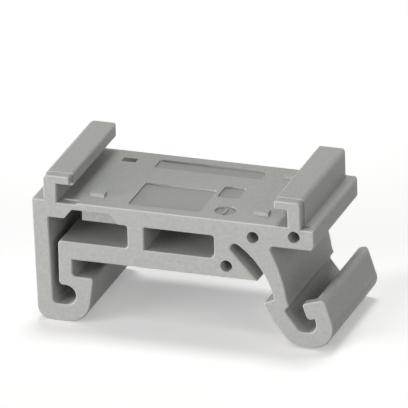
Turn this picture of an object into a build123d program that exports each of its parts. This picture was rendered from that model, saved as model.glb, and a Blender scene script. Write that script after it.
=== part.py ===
from build123d import *
from math import asin, atan2, cos, hypot, radians, sin, tan
import os

# One-piece moulded adapter that snaps onto a 15 mm mini DIN rail and carries a terminal block.
# Millimetres. X runs across the rail, Y along it, Z up from the rail.
# The origin is at the middle of the seat face that rests on the rail's two flanges.

# Rail that the adapter grips
RAIL_WIDTH = 15.0
FLANGE_THICKNESS = 1.0
FLANGE_SLACK = 0.3
RAIL_SIDE_CLEARANCE = 0.03

# Body between the rail and the block
DEPTH = 10.1
BODY_HEIGHT = 4.4
SEAT_BAR = 1.37
TOP_SLAB = 1.29
END_SLAB = 1.62
CAVITY_WIDTH = 5.24
RIB_WIDTH = 1.24
SLOT_WALL = 1.22
RIGHT_LEDGE = 0.86
END_CHAMFER_WIDTH = 0.2
END_CHAMFER_HEIGHT = 0.35
END_CORNER_RADIUS = 0.2
END_TOP_RADIUS = 0.3
CAVITY_RADIUS = 0.25
POCKET_RADIUS = 0.4

# Fixed claw on the left
CLAW_LEG = 1.03
SLIT_WIDTH = 0.58
SIDE_WALL = 1.2
WALL_LEAN = 0.1
FINGER_REACH = 1.58
FINGER_LEAN = 0.5
FOOT_DROP = 4.84
FOOT_FLOOR = 1.3
FOOT_OUTER_RADIUS = 1.05
FOOT_INNER_RADIUS = 1.8
FINGER_TIP_RADIUS = 0.22
GROOVE_RADIUS = 0.3
BULB_RADIUS = 0.75
BULB_OVERLAP = 0.2
BULB_CORNER_RADIUS = 0.4
LEG_CORNER_RADIUS = 0.3

# Spring arm on the right
SLOT_WIDTH = 0.72
SLOT_SETBACK = 2.79
SLOT_TOP_DISTANCE = 2.1
SLOT_FOOT_SETBACK = 1.2
SLOT_MOUTH_ANGLE = 34.0
ARM_THICKNESS = 1.0
ARM_ROOT_SETBACK = 0.33
ARM_ROOT_RADIUS = 0.25
ARM_OUTER_BOW = 0.2
CATCH_REACH = 0.8
CATCH_DROP = 0.35
CATCH_NOSE_RADIUS = 0.12
KNEE_WIDTH = 0.62
KNEE_DROP = 1.2
KNEE_RADIUS = 2.5
NIB_HEIGHT = 0.13
NIB_DROP = 0.4
NIB_UNDERCUT = 0.25
NIB_RADIUS = 0.12

# Release hook under the spring arm
HOOK_DROP = 4.66
HOOK_FLOOR = 1.1
HOOK_SIDE = 1.0
HOOK_REACH = 3.77
HOOK_TILT = 17.6
HEEL_SETBACK = 1.22
HEEL_STEP = 0.7
HEEL_RADIUS = 1.6
TOE_RADIUS = 1.6
LIP_DROP = 0.87
LIP_LENGTH = 1.76
LIP_THICKNESS = 1.28
LIP_DEPTH = 0.72
LIP_CORNER_RADIUS = 0.35
LIP_TIP_RADIUS = 0.18
HOOK_POCKET_ROUNDNESS = 0.47
HOOK_TOP_FLAT = 0.12

# Clips that hold the block
BAY_WIDTH = 17.12
LEFT_LEDGE = 0.89
CLIP_LEG = 1.1
CLIP_HEIGHT = 2.04
CLIP_LIP_THICKNESS = 0.97
CLIP_LIP_REACH = 0.98
CLIP_CORNER_RADIUS = 0.35
CLIP_LIP_RADIUS = 0.16

# Small edges, and the rounder corners at the back end
EDGE_RADIUS = 0.09
OUTLINE_CHAMFER = 0.08
BACK_CLIP_RADIUS = 0.7
BACK_CORNER_RADIUS = 0.45

# Front slice, a little smaller than the rest round the clips
RELIEF_DEPTH = 0.65
RELIEF_STEP = 0.11
RELIEF_UNDER_LIP = 0.25
RELIEF_FLOOR_LENGTH = 1.5

# Recess over the left cavity where the moulding gate was cut off
GATE_RISE = 0.78
GATE_CHAMFER = 0.65
GATE_SETBACK = 0.47
GATE_LENGTH = 4.1
GATE_OPEN_LENGTH = 1.37
GATE_DEPTH = 0.15
GATE_OPEN_DEPTH = 4.0

# Core holes
CORE_HOLE_DIAMETER = 0.88
CORE_HOLE_DEPTH = 8.0
SEAT_HOLE_SETBACK = 3.49
SEAT_HOLE_HEIGHT = 0.89
ROOT_HOLE_SETBACK = 1.46
ROOT_HOLE_TOP_DISTANCE = 1.07
END_HOLE_SETBACK = 1.5
END_HOLE_TOP_DISTANCE = 0.7

# Marks on the top face
NUB_LENGTH = 1.05
NUB_WIDTH = 0.65
NUB_HEIGHT = 0.3
NOTCH_DEPTH = 0.35
NUB_SPACING = 12.25
NUB_ROW_SPACING = 6.68
NUB_FRONT_SETBACK = 1.77
MARK_DEPTH = 0.15
MARK_RADIUS = 0.25
STRIP_LENGTH = 8.05
STRIP_WIDTH = 1.5
STRIP_SETBACK = 8.38
PLATE_LENGTH = 5.35
PLATE_WIDTH = 4.05
PLATE_OFFSET = 0.99
PLATE_SETBACK = 2.94
STAMP_LENGTH = 1.6
STAMP_WIDTH = 2.0
STAMP_OFFSET = 2.79
STAMP_SETBACK = 4.87
DISC_DIAMETER = 1.6
DISC_OFFSET = 3.39
DISC_SETBACK = 1.71
DISC_BAR_LENGTH = 0.8
DISC_BAR_WIDTH = 0.14

# Left side, from the rail's edge outwards
groove_x = -RAIL_WIDTH / 2 - RAIL_SIDE_CLEARANCE
leg_x = groove_x - CLAW_LEG
slit_x = leg_x - SLIT_WIDTH
wall_x = slit_x - SIDE_WALL
finger_x = groove_x + FINGER_REACH
finger_z = -FLANGE_THICKNESS - FLANGE_SLACK
foot_floor_z = FOOT_FLOOR - FOOT_DROP
bulb_x = groove_x + BULB_OVERLAP - BULB_RADIUS
bulb_z = foot_floor_z + BULB_RADIUS
leg_end_z = bulb_z + BULB_RADIUS

# Cavities in the body
ceiling_z = BODY_HEIGHT - TOP_SLAB
cavity_x = leg_x + CAVITY_WIDTH
pocket_left = cavity_x + RIB_WIDTH
gate_left = leg_x + GATE_SETBACK
gate_right = gate_left + GATE_LENGTH
gate_z = ceiling_z + GATE_RISE

# Right side, from the rail's edge outwards
catch_x = RAIL_WIDTH / 2 + RAIL_SIDE_CLEARANCE
slot_radius = SLOT_WIDTH / 2
slot_x = catch_x - SLOT_SETBACK
pocket_right = slot_x - slot_radius - SLOT_WALL
slot_z = BODY_HEIGHT - SLOT_TOP_DISTANCE
seat_end = catch_x - SLOT_FOOT_SETBACK
slot_run = seat_end - slot_x
slot_angle = atan2(slot_z, slot_run) - asin(slot_radius / hypot(slot_z, slot_run))
nose_x = catch_x - CATCH_REACH
nose_z = finger_z - CATCH_DROP
arm_root = (catch_x - ARM_ROOT_SETBACK, BODY_HEIGHT - END_SLAB)
arm_end = (catch_x + ARM_THICKNESS, finger_z)
nib_x = catch_x + ARM_THICKNESS + NIB_HEIGHT
nib_z = finger_z - NIB_DROP
heel_x = catch_x + HEEL_SETBACK
hook_floor_z = HOOK_FLOOR - HOOK_DROP
toe_x = catch_x + HOOK_REACH + (HOOK_DROP - LIP_DROP) * tan(radians(HOOK_TILT))

# Lip of the hook, a block tilted with the hook's side
along_lip = Vector(cos(radians(HOOK_TILT)), sin(radians(HOOK_TILT)))
down_side = Vector(sin(radians(HOOK_TILT)), -cos(radians(HOOK_TILT)))
lip_corner = Vector(catch_x + HOOK_REACH, -LIP_DROP)
lip_tip = lip_corner - along_lip * LIP_LENGTH
lip_under = lip_tip + down_side * LIP_THICKNESS
lip_inside = lip_under + along_lip * (LIP_LENGTH - HOOK_SIDE)
lip_root = lip_inside + along_lip * LIP_CORNER_RADIUS
hook_top_radius = (HOOK_SIDE - HOOK_TOP_FLAT) / 2
hook_pocket_x = heel_x + HEEL_STEP
hook_pocket_radius = HOOK_POCKET_ROUNDNESS * (lip_inside.X - hook_pocket_x)
side_top = lip_corner - along_lip * HOOK_SIDE
side_middle = lip_corner - along_lip * (HOOK_SIDE / 2)

# Clips and the slab's right end
clip_left = wall_x - WALL_LEAN + LEFT_LEDGE
bay_left = clip_left + CLIP_LEG
bay_right = bay_left + BAY_WIDTH
bay_middle = (bay_left + bay_right) / 2
clip_right = bay_right + CLIP_LEG
lip_left = bay_left + CLIP_LIP_REACH
lip_right = bay_right - CLIP_LIP_REACH
slice_left = bay_left - RELIEF_STEP
slice_right = clip_right - RELIEF_STEP
clip_top = BODY_HEIGHT + CLIP_HEIGHT
clip_under = clip_top - CLIP_LIP_THICKNESS
end_x = clip_right + RIGHT_LEDGE
end_z = BODY_HEIGHT - END_SLAB

# Planes of the outline's front end and of the face that the block sits on
front = Plane.XZ.offset(DEPTH / 2)
top = Plane.XY.offset(BODY_HEIGHT)
front_y = -DEPTH / 2


def rounded_outline(corners, mode=Mode.ADD):
    """Fill or cut a closed outline, with each corner given as across, up and rounding."""
    with BuildLine() as edge:
        FilletPolyline(
            [(across, up) for across, up, rounding in corners],
            radius=[rounding for across, up, rounding in corners],
            close=True,
        )
    make_face(edge.edges(), mode=mode)


def clip_outline(leg_outside, leg_inside, lip_end, bottom, under, height):
    """Leg and inward lip of one block clip, from its bottom to its height."""
    rounded_outline(
        [
            (leg_outside, bottom, 0),
            (leg_outside, height, CLIP_CORNER_RADIUS),
            (lip_end, height, CLIP_LIP_RADIUS),
            (lip_end, under, CLIP_LIP_RADIUS),
            (leg_inside, under, 0),
            (leg_inside, bottom, 0),
        ]
    )


def round_corner(corner, outwards, radius, length):
    """Round a corner at the back end, running down from it on the left and up on the right."""
    backwards = Vector(0, 1, 0)
    along = Vector(outwards).cross(backwards)
    with BuildSketch(Plane(corner, x_dir=outwards, z_dir=along)) as waste:
        Rectangle(radius, radius, align=(Align.MAX, Align.MAX))
        with Locations((-radius, -radius)):
            Circle(radius, mode=Mode.SUBTRACT)
    extrude(waste.sketch, amount=length, mode=Mode.SUBTRACT)


with BuildPart() as rail_adapter:
    with BuildSketch(front) as section:
        # Body, fixed claw and foot
        rounded_outline(
            [
                (wall_x - WALL_LEAN, BODY_HEIGHT, EDGE_RADIUS),
                (end_x, BODY_HEIGHT, END_TOP_RADIUS),
                (end_x, end_z + END_CHAMFER_HEIGHT, END_CORNER_RADIUS),
                (end_x - END_CHAMFER_WIDTH, end_z, END_CORNER_RADIUS),
                (arm_root[0], arm_root[1], 0),
                (seat_end + slot_radius, 0, 0),
                (groove_x, 0, 0),
                (groove_x, finger_z, GROOVE_RADIUS),
                (finger_x, finger_z, FINGER_TIP_RADIUS),
                (finger_x - FINGER_LEAN, -FOOT_DROP, FOOT_INNER_RADIUS),
                (wall_x + WALL_LEAN, -FOOT_DROP, FOOT_OUTER_RADIUS),
            ]
        )
        # Spring arm with its catch and release hook
        with BuildLine() as arm:
            SagittaArc(arm_root, arm_end, ARM_OUTER_BOW)
            FilletPolyline(
                arm_end,
                (nib_x, nib_z),
                (nib_x - NIB_UNDERCUT, nib_z - NIB_UNDERCUT),
                (nib_x - NIB_UNDERCUT, nib_z - 2 * NIB_UNDERCUT),
                (hook_pocket_x, hook_floor_z),
                (lip_inside.X, hook_floor_z),
                side_top,
                lip_corner,
                (toe_x, -HOOK_DROP),
                (heel_x, -HOOK_DROP),
                (nose_x + KNEE_WIDTH, nose_z - KNEE_DROP),
                (nose_x, nose_z),
                (catch_x, finger_z),
                radius=[
                    NIB_RADIUS,
                    NIB_RADIUS,
                    NIB_UNDERCUT,
                    hook_pocket_radius,
                    hook_pocket_radius,
                    hook_top_radius,
                    hook_top_radius,
                    TOE_RADIUS,
                    HEEL_RADIUS,
                    KNEE_RADIUS,
                    CATCH_NOSE_RADIUS,
                ],
            )
            Polyline(
                (catch_x, finger_z),
                (seat_end + slot_radius, 0),
                (slot_x, slot_z),
                (slot_x, ceiling_z),
                arm_root,
            )
        make_face(arm.edges())
        fillet(section.vertices().sort_by_distance(arm_root)[0], radius=ARM_ROOT_RADIUS)
        # Slot that frees the arm from the seat
        with Locations((slot_x, slot_z)):
            Circle(slot_radius, mode=Mode.SUBTRACT)
        with BuildLine() as slot:
            lower_end = (
                slot_x - slot_radius * sin(slot_angle),
                slot_z - slot_radius * cos(slot_angle),
            )
            upper_end = (
                slot_x + slot_radius * sin(radians(SLOT_MOUTH_ANGLE)),
                slot_z + slot_radius * cos(radians(SLOT_MOUTH_ANGLE)),
            )
            Polyline(
                upper_end,
                lower_end,
                (seat_end, 0),
                (seat_end, finger_z),
                (catch_x, finger_z),
            )
            slot_mouth = Vector(cos(radians(SLOT_MOUTH_ANGLE)), -sin(radians(SLOT_MOUTH_ANGLE)))
            TangentArc(upper_end, (catch_x, finger_z), tangent=slot_mouth)
        make_face(slot.edges(), mode=Mode.SUBTRACT)
        # Left cavity, running down into the slit behind the claw
        rounded_outline(
            [
                (slit_x - WALL_LEAN, ceiling_z, EDGE_RADIUS),
                (cavity_x, ceiling_z, CAVITY_RADIUS),
                (cavity_x, SEAT_BAR, CAVITY_RADIUS),
                (leg_x, SEAT_BAR, CAVITY_RADIUS),
                (leg_x, leg_end_z, LEG_CORNER_RADIUS),
                (bulb_x, leg_end_z, 0),
                (bulb_x, foot_floor_z, 0),
                (slit_x + WALL_LEAN, foot_floor_z, BULB_CORNER_RADIUS),
            ],
            mode=Mode.SUBTRACT,
        )
        with Locations((bulb_x, bulb_z)):
            Circle(BULB_RADIUS, mode=Mode.SUBTRACT)
        # Middle pocket
        rounded_outline(
            [
                (pocket_left, ceiling_z, EDGE_RADIUS),
                (pocket_right, ceiling_z, CAVITY_RADIUS),
                (pocket_right, SEAT_BAR, POCKET_RADIUS),
                (pocket_left, SEAT_BAR, EDGE_RADIUS),
            ],
            mode=Mode.SUBTRACT,
        )
    extrude(amount=-DEPTH)

    # Inward lip at the front end of the hook
    with BuildSketch(front):
        rounded_outline(
            [
                (lip_tip.X, lip_tip.Y, LIP_TIP_RADIUS),
                (lip_under.X, lip_under.Y, LIP_CORNER_RADIUS),
                (lip_root.X, lip_root.Y, 0),
                (side_middle.X, side_middle.Y, 0),
            ]
        )
    extrude(amount=-LIP_DEPTH)

    # Clips behind the front slice
    with BuildSketch(front.offset(-RELIEF_DEPTH)):
        clip_outline(clip_left, bay_left, lip_left, BODY_HEIGHT, clip_under, clip_top)
        clip_outline(clip_right, bay_right, lip_right, BODY_HEIGHT, clip_under, clip_top)
    extrude(amount=RELIEF_DEPTH - DEPTH)

    # Front slice of the clips and of the floor beside them, a step smaller
    with BuildSketch(front):
        with Locations((slice_left, BODY_HEIGHT)):
            Rectangle(RELIEF_FLOOR_LENGTH, 2 * RELIEF_STEP, align=(Align.MIN, Align.CENTER))
        with Locations((slice_right, BODY_HEIGHT)):
            Rectangle(end_x - slice_right, 2 * RELIEF_STEP, align=(Align.MIN, Align.CENTER))
    extrude(amount=-RELIEF_DEPTH, mode=Mode.SUBTRACT)
    with BuildSketch(front):
        clip_outline(
            clip_left,
            slice_left,
            lip_left - RELIEF_STEP,
            BODY_HEIGHT - RELIEF_STEP,
            clip_under + RELIEF_UNDER_LIP,
            clip_top - RELIEF_STEP,
        )
        clip_outline(
            slice_right,
            bay_right,
            lip_right,
            BODY_HEIGHT - RELIEF_STEP,
            clip_under + RELIEF_UNDER_LIP,
            clip_top - RELIEF_STEP,
        )
    extrude(amount=-RELIEF_DEPTH)

    # Broken edges of the outline at both ends
    chamfer(rail_adapter.faces().sort_by(Axis.Y)[0].edges(), length=OUTLINE_CHAMFER)
    chamfer(rail_adapter.faces().sort_by(Axis.Y)[-1].edges(), length=OUTLINE_CHAMFER)

    # Gate recess in the cavity's ceiling, shallow on the right and deep on the left
    with BuildSketch(front):
        rounded_outline(
            [
                (gate_left, ceiling_z, 0),
                (gate_left + GATE_CHAMFER, gate_z, EDGE_RADIUS),
                (gate_right - GATE_CHAMFER, gate_z, EDGE_RADIUS),
                (gate_right, ceiling_z, 0),
            ]
        )
    extrude(amount=-GATE_DEPTH, mode=Mode.SUBTRACT)
    with BuildSketch(front):
        rounded_outline(
            [
                (gate_left, ceiling_z, 0),
                (gate_left + GATE_CHAMFER, gate_z, EDGE_RADIUS),
                (gate_left + GATE_OPEN_LENGTH, gate_z, 0),
                (gate_left + GATE_OPEN_LENGTH, ceiling_z, 0),
            ]
        )
    extrude(amount=-GATE_OPEN_DEPTH, mode=Mode.SUBTRACT)

    # Core holes in the thick places
    with BuildSketch(front):
        with Locations(
            (catch_x - SEAT_HOLE_SETBACK, SEAT_HOLE_HEIGHT),
            (catch_x - ROOT_HOLE_SETBACK, BODY_HEIGHT - ROOT_HOLE_TOP_DISTANCE),
            (end_x - END_HOLE_SETBACK, BODY_HEIGHT - END_HOLE_TOP_DISTANCE),
        ):
            Circle(CORE_HOLE_DIAMETER / 2)
    extrude(amount=-CORE_HOLE_DEPTH, mode=Mode.SUBTRACT)

    # Three nubs on the top face and a notch at the fourth corner
    nub_left = bay_middle - NUB_SPACING / 2
    nub_right = bay_middle + NUB_SPACING / 2
    nub_front = front_y + NUB_FRONT_SETBACK
    nub_back = nub_front + NUB_ROW_SPACING
    with BuildSketch(top):
        with Locations((nub_left, nub_front), (nub_right, nub_front), (nub_right, nub_back)):
            Rectangle(NUB_LENGTH, NUB_WIDTH)
    extrude(amount=NUB_HEIGHT)
    with BuildSketch(top):
        with Locations((nub_left, nub_back)):
            Rectangle(NUB_LENGTH, NUB_WIDTH)
    extrude(amount=-NOTCH_DEPTH, mode=Mode.SUBTRACT)

    # Bare sunk fields and the sunk disc with its bar
    with BuildSketch(top):
        with Locations((bay_middle, front_y + STRIP_SETBACK)):
            RectangleRounded(STRIP_LENGTH, STRIP_WIDTH, MARK_RADIUS)
        with Locations((bay_middle - PLATE_OFFSET, front_y + PLATE_SETBACK)):
            RectangleRounded(PLATE_LENGTH, PLATE_WIDTH, MARK_RADIUS)
        with Locations((bay_middle + STAMP_OFFSET, front_y + STAMP_SETBACK)):
            RectangleRounded(STAMP_LENGTH, STAMP_WIDTH, MARK_RADIUS)
        with Locations((bay_middle + DISC_OFFSET, front_y + DISC_SETBACK)):
            Circle(DISC_DIAMETER / 2)
            Rectangle(DISC_BAR_WIDTH, DISC_BAR_LENGTH, mode=Mode.SUBTRACT)
    extrude(amount=-MARK_DEPTH, mode=Mode.SUBTRACT)

    # Rounder corners at the back end
    back_y = DEPTH / 2
    side_height = (HOOK_DROP - LIP_DROP) / cos(radians(HOOK_TILT))
    hook_back = Vector(toe_x, back_y, -HOOK_DROP)
    round_corner((clip_left, back_y, clip_top), (-1, 0, 0), BACK_CLIP_RADIUS, CLIP_HEIGHT)
    round_corner((lip_left, back_y, clip_under), (1, 0, 0), BACK_CORNER_RADIUS, CLIP_LIP_THICKNESS)
    round_corner((clip_right, back_y, BODY_HEIGHT), (1, 0, 0), BACK_CORNER_RADIUS, CLIP_HEIGHT)
    round_corner((end_x, back_y, end_z), (1, 0, 0), BACK_CORNER_RADIUS, END_SLAB)
    round_corner(hook_back, (along_lip.X, 0, along_lip.Y), BACK_CORNER_RADIUS, side_height)

rail_adapter.part.label = "rail_adapter"
os.makedirs("parts", exist_ok=True)
export_step(rail_adapter.part, "parts/rail_adapter.step")
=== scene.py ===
import math

import bpy
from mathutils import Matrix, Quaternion, Vector


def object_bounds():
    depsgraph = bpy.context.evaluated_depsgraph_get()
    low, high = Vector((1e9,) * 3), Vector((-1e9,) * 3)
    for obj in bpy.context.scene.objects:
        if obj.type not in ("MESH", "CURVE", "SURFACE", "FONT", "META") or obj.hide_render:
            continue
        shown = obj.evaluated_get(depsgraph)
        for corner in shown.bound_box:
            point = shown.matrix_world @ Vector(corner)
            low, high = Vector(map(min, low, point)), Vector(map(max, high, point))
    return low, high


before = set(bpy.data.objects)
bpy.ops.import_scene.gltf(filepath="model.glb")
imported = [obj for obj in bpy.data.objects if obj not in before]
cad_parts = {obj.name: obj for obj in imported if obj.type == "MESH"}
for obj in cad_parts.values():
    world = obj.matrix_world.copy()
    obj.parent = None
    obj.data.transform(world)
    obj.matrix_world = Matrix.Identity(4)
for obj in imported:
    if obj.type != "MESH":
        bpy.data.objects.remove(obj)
cad_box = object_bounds()

# Lengths are in metres, angles in degrees, colours linear with their alpha last.

# Viewing angle of the photograph, and where the object stands in the picture
VIEW_AZIMUTH = 19.5
VIEW_ELEVATION = 23.4
VIEW_ROLL = -1.5
VIEW_DISTANCE = 0.9
VIEW_WIDTH = 0.02898
AIM_RIGHT = 0.0006
AIM_UP = 0.00284
SENSOR_WIDTH_MM = 36.0

# The plastic: its grain runs between the light and the dark tone
LIGHT_PLASTIC = (0.512, 0.515, 0.5, 1.0)
DARK_PLASTIC = (0.358, 0.361, 0.35, 1.0)
DARKER_PLASTIC = (0.265, 0.267, 0.258, 1.0)
# The lighter colour below paints a highlight on the slanted edge faces at both ends
EDGE_HIGHLIGHT_PLASTIC = (0.54, 0.543, 0.528, 1.0)
PLASTIC_ROUGHNESS = 0.5
PLASTIC_MIRROR_LEVEL = 0.25

# Noise of the plastic: cells in a metre, and how many finer layers
GRAIN_SCALE = 4500
GRAIN_DETAIL = 3
MOTTLE_SCALE = 3500
MOTTLE_DETAIL = 4
RELIEF_SCALE = 6000
RELIEF_DETAIL = 3
RELIEF_STRENGTH = 0.15
RELIEF_DEPTH = 0.00002

# Darker places, each a box between two points counted from the low front left corner of
# the object: the film over the gate, darker in mottled patches, and the sunk fields of the
# top face, which are darker by an even share
GATE_FILM = ((0.00364, 0.00011, 0.00794), (0.00654, 0.00019, 0.00874))
SUNK_FIELDS = ((0.00594, 0.00015, 0.00906), (0.01494, 0.00995, 0.00912))
FIELD_SHARE = 0.4

# Painted highlight on the edges at both ends: the share of their normal along Y, and how
# far it may differ
EDGE_LEAN = 0.7
EDGE_LEAN_RANGE = 0.25

# Softened edges of the moulding
WELD_DISTANCE = 0.000001
FLAT_ANGLE = 0.5
EDGE_WIDTH = 0.0001
EDGE_SEGMENTS = 3
EDGE_ANGLE = 28

# Floor and surroundings: the floor looks white but throws less light back
WHITE = (1.0, 1.0, 1.0, 1.0)
FLOOR = (1.0, 0.985, 1.0, 1.0)
FLOOR_BOUNCE = (0.45, 0.45, 0.45, 1.0)
FLOOR_GLOW = 0.28
FLOOR_SIZE = 2.0
WORLD_LEVEL = 0.14

# Lamps: name, azimuth, elevation, level, width, height and colour. The left one is the
# main light, and the last two draw the bright lines on the edges.
LIGHT_DISTANCE = 0.6
LIGHTS = (
    ("left", -46, 5, 1.25, 0.4, 0.16, (1.0, 0.985, 0.972)),
    ("right", 54, 24, 0.165, 0.25, 0.25, (0.985, 1.0, 0.93)),
    ("back", 192, 75, 0.37, 0.2, 0.16, (0.975, 1.0, 0.965)),
    ("edges", -40, 61, 0.07, 0.1, 0.1, (1.0, 1.0, 1.0)),
    ("rim", 172, 28, 0.06, 0.2, 0.08, (1.0, 1.0, 1.0)),
)


def direction(azimuth, elevation):
    """Unit vector from the object; azimuth 0 is straight in front, 90 is on +X."""
    a = math.radians(azimuth)
    e = math.radians(elevation)
    return Vector(
        (math.sin(a) * math.cos(e), -math.cos(a) * math.cos(e), math.sin(e))
    )


def place_facing_object(thing, azimuth, elevation, distance, roll=0):
    """Put a camera or a light round the object, turned towards its origin."""
    away = direction(azimuth, elevation)
    turn = away.to_track_quat("Z", "Y")
    thing.rotation_mode = "QUATERNION"
    thing.rotation_quaternion = Quaternion(away, math.radians(roll)) @ turn
    thing.location = away * distance
    bpy.context.scene.collection.objects.link(thing)


def add_camera():
    """Camera at the photograph's viewing angle, with a long lens."""
    data = bpy.data.cameras.new("camera")
    data.sensor_width = SENSOR_WIDTH_MM
    data.lens = SENSOR_WIDTH_MM * VIEW_DISTANCE / VIEW_WIDTH
    data.clip_start = VIEW_DISTANCE / 100
    data.clip_end = VIEW_DISTANCE * 4
    camera = bpy.data.objects.new("camera", data)
    place_facing_object(
        camera, VIEW_AZIMUTH, VIEW_ELEVATION, VIEW_DISTANCE, VIEW_ROLL
    )
    camera.location += camera.rotation_quaternion @ Vector((AIM_RIGHT, AIM_UP, 0))
    bpy.context.scene.camera = camera


def add_light(name, azimuth, elevation, level, width, height, colour):
    """Soft panel of light; a white surface that faces it shows the given level."""
    data = bpy.data.lights.new(name, "AREA")
    data.shape = "RECTANGLE"
    data.size = width
    data.size_y = height
    data.energy = level * math.pi**2 * LIGHT_DISTANCE**2
    data.color = colour
    light = bpy.data.objects.new(name, data)
    light.visible_camera = False
    place_facing_object(light, azimuth, elevation, LIGHT_DISTANCE)


def set_inputs(tree, node, values):
    """Give a node's inputs, by name or number, a constant or the link from a socket."""
    for key, value in values.items():
        if isinstance(value, bpy.types.NodeSocket):
            tree.links.new(value, node.inputs[key])
        else:
            node.inputs[key].default_value = value


def calculate(tree, operation, *operands):
    """Math node over sockets or numbers."""
    node = tree.nodes.new("ShaderNodeMath")
    node.operation = operation
    set_inputs(tree, node, dict(enumerate(operands)))
    return node.outputs[0]


def mix(tree, kind, factor, first, second):
    """The first value where the factor is 0, the second where it is 1."""
    node = tree.nodes.new("ShaderNodeMix")
    node.data_type = kind
    set_inputs(tree, node, {"Factor": factor, "A": first, "B": second})
    return node.outputs["Result"]


def noise(tree, place, scale, detail):
    """Cloudy noise from 0 to 1."""
    node = tree.nodes.new("ShaderNodeTexNoise")
    set_inputs(tree, node, {"Vector": place, "Scale": scale, "Detail": detail})
    return node.outputs["Fac"]


def split(tree, vector):
    """The three parts of a vector."""
    node = tree.nodes.new("ShaderNodeSeparateXYZ")
    tree.links.new(vector, node.inputs["Vector"])
    return node.outputs


def box_mask(tree, place, box):
    """1 inside the box and 0 outside it."""
    inside = 1.0
    for part, corner, low, high in zip(split(tree, place), cad_box[0], *box):
        middle = corner + (low + high) / 2
        near = calculate(tree, "COMPARE", part, middle, (high - low) / 2)
        inside = calculate(tree, "MULTIPLY", inside, near)
    return inside


def darker_share(tree, place):
    """How much darker the plastic is: mottled on the gate's film, even in the sunk fields.
    """
    mottle = noise(tree, place, MOTTLE_SCALE, MOTTLE_DETAIL)
    film = calculate(tree, "MULTIPLY", box_mask(tree, place, GATE_FILM), mottle)
    fields = box_mask(tree, place, SUNK_FIELDS)
    return calculate(tree, "MULTIPLY_ADD", fields, FIELD_SHARE, film)


def edge_highlight_mask(tree, normal):
    """Where the edge highlight is painted: 1 on the small slanted faces round both ends, 0
    elsewhere.
    """
    lean = calculate(tree, "ABSOLUTE", split(tree, normal)["Y"])
    return calculate(tree, "COMPARE", lean, EDGE_LEAN, EDGE_LEAN_RANGE)


def plastic_material():
    """Matt moulded plastic with a fine grain."""
    material = bpy.data.materials.new("grey_polyamide")
    material.use_nodes = True
    tree = material.node_tree
    coordinates = tree.nodes.new("ShaderNodeTexCoord").outputs
    place = coordinates["Object"]

    grain = noise(tree, place, GRAIN_SCALE, GRAIN_DETAIL)
    colour = mix(tree, "RGBA", grain, DARK_PLASTIC, LIGHT_PLASTIC)
    # A darker tone over the gate's film, mottled, and evenly over the sunk fields
    colour = mix(tree, "RGBA", darker_share(tree, place), colour, DARKER_PLASTIC)
    # Painted highlight: the slanted edge faces at both ends get a lighter colour
    edge_highlight = edge_highlight_mask(tree, coordinates["Normal"])
    colour = mix(tree, "RGBA", edge_highlight, colour, EDGE_HIGHLIGHT_PLASTIC)

    relief = tree.nodes.new("ShaderNodeBump")
    height = noise(tree, place, RELIEF_SCALE, RELIEF_DETAIL)
    settings = {"Strength": RELIEF_STRENGTH, "Distance": RELIEF_DEPTH}
    set_inputs(tree, relief, settings | {"Height": height})

    shader = tree.nodes["Principled BSDF"]
    shader.inputs["Roughness"].default_value = PLASTIC_ROUGHNESS
    shader.inputs["Specular IOR Level"].default_value = PLASTIC_MIRROR_LEVEL
    links = {"Base Color": colour, "Normal": relief.outputs["Normal"]}
    set_inputs(tree, shader, links)
    return material


def background_rays(tree):
    """1 for rays that show the background: straight, mirrored or through glass."""
    rays = tree.nodes.new("ShaderNodeLightPath").outputs
    shown = rays["Is Camera Ray"]
    for kind in ("Is Glossy Ray", "Is Transmission Ray"):
        shown = calculate(tree, "MAXIMUM", shown, rays[kind])
    return shown


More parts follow.
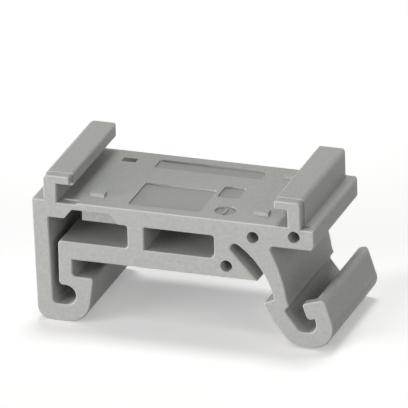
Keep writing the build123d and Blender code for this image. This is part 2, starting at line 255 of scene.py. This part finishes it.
def floor_material():
    """Pale floor that keeps its shadow and looks white to the camera."""
    material = bpy.data.materials.new("floor")
    material.use_nodes = True
    tree = material.node_tree
    tree.nodes.clear()
    shown = background_rays(tree)
    paper = tree.nodes.new("ShaderNodeBsdfDiffuse")
    paper_colour = mix(tree, "RGBA", shown, FLOOR_BOUNCE, FLOOR)
    set_inputs(tree, paper, {"Color": paper_colour})
    glow = tree.nodes.new("ShaderNodeEmission")
    strength = calculate(tree, "MULTIPLY", shown, FLOOR_GLOW)
    set_inputs(tree, glow, {"Color": WHITE, "Strength": strength})
    both = tree.nodes.new("ShaderNodeAddShader")
    set_inputs(tree, both, {0: paper.outputs[0], 1: glow.outputs[0]})
    output = tree.nodes.new("ShaderNodeOutputMaterial")
    set_inputs(tree, output, {"Surface": both.outputs[0]})
    return material


def add_floor(height):
    """Large plane under the object."""
    half = FLOOR_SIZE / 2
    outline = ((-half, -half), (half, -half), (half, half), (-half, half))
    corners = [(x, y, height) for x, y in outline]
    mesh = bpy.data.meshes.new("floor")
    mesh.from_pydata(corners, [], [(0, 1, 2, 3)])
    mesh.materials.append(floor_material())
    floor = bpy.data.objects.new("floor", mesh)
    bpy.context.scene.collection.objects.link(floor)


def set_world():
    """Even white surroundings: dim as light, white as a background."""
    world = bpy.data.worlds.new("studio")
    bpy.context.scene.world = world
    world.use_nodes = True
    tree = world.node_tree
    strength = mix(tree, "FLOAT", background_rays(tree), WORLD_LEVEL, 1.0)
    values = {"Color": WHITE, "Strength": strength}
    set_inputs(tree, tree.nodes["Background"], values)


def soften_edges(adapter):
    """Small rounds on the sharp edges, made on clean flat faces."""
    weld = adapter.modifiers.new("weld", "WELD")
    weld.merge_threshold = WELD_DISTANCE
    flat = adapter.modifiers.new("flat", "DECIMATE")
    flat.decimate_type = "DISSOLVE"
    flat.angle_limit = math.radians(FLAT_ANGLE)
    edge = adapter.modifiers.new("edge", "BEVEL")
    edge.width = EDGE_WIDTH
    edge.segments = EDGE_SEGMENTS
    edge.limit_method = "ANGLE"
    edge.angle_limit = math.radians(EDGE_ANGLE)
    edge.use_clamp_overlap = True
    edge.harden_normals = True


def dress_adapter():
    """Plastic and softened edges on the moulding."""
    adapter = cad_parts["rail_adapter"]
    adapter.data.materials.clear()
    adapter.data.materials.append(plastic_material())
    soften_edges(adapter)


dress_adapter()
add_floor(cad_box[0].z)
set_world()
for light in LIGHTS:
    add_light(*light)
add_camera()
bpy.context.scene.view_settings.view_transform = "Standard"
